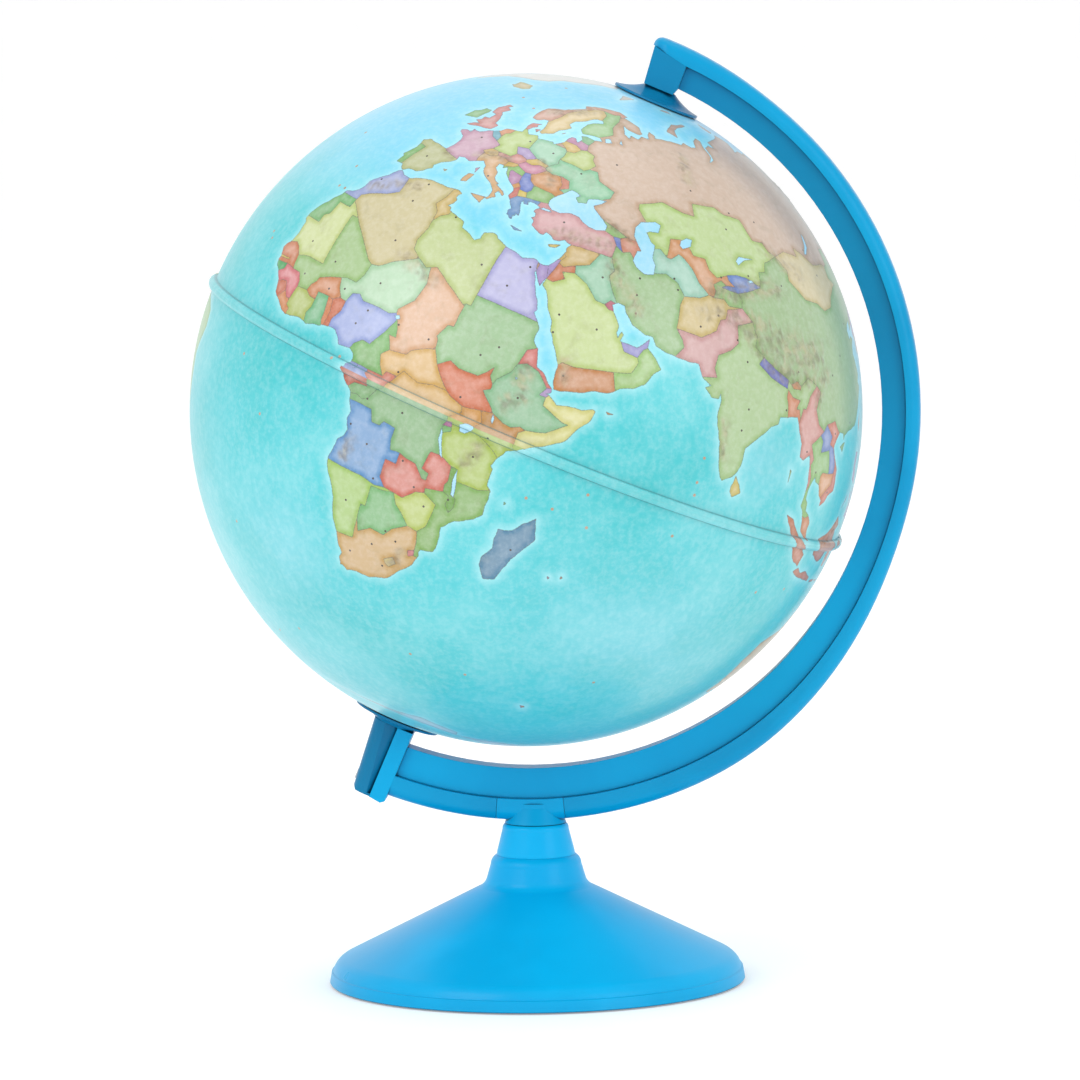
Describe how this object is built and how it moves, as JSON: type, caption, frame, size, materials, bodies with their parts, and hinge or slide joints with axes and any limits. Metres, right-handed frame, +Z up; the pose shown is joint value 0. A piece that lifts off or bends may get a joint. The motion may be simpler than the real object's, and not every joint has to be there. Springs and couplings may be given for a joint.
{
  "type": "desktop globe on stand",
  "caption": "Desktop globe: a hollow ball with a world map, spinning on a tilted polar axis in a C-shaped plastic arm on a round conical foot.",
  "frame": {"origin": "centre of the foot's rest face, on the surface the globe stands on", "axes": "+Z up; the arm lies in the XZ plane and bulges towards +X, where the north end of the tilted axis leans"},
  "size_m": [0.2824, 0.2646, 0.3663],
  "materials": {
    "map_ball": "satin printed map",
    "blue_plastic": "gloss cyan-blue moulding",
    "teal_plastic": "gloss teal moulding",
    "white_plastic": "natural nylon",
    "cover_plastic": "fine matt texture",
    "steel": "zinc plated",
    "brass": "turned",
    "iron": "painted",
    "rubber": "matt"
  },
  "bodies": {
    "stand": {"meridian_arm": "blue_plastic", "long_rim_cover": "blue_plastic", "short_rim_cover": "blue_plastic", "north_polar_cap": "teal_plastic", "south_polar_cap": "teal_plastic", "north_pivot_pin": "steel", "south_pivot_pin": "steel", "north_washer": "white_plastic", "south_thrust_washer": "white_plastic", "south_pivot_clip": "teal_plastic", "pivot_clip_screws": "steel", "threaded_insert": "brass", "neck_sleeve": "blue_plastic", "foot_shell": "blue_plastic", "base_washer": "steel", "base_bolt": "steel", "ballast_plate": "iron", "ballast_screws": "steel", "bottom_cover": "cover_plastic", "cover_screws": "steel", "anti_slip_ring": "rubber"},
    "ball": {"north_hemisphere": "map_ball", "south_hemisphere": "map_ball", "joining_ring": "white_plastic", "north_bushing": "white_plastic", "south_bushing": "white_plastic"}
  },
  "joints": [
    {"name": "ball_spin", "type": "hinge", "parent": "stand", "child": "ball", "pos_m": [-0.0014, 0, 0.223], "axis": [0.3987, 0, 0.9171], "continuous": true}
  ]
}
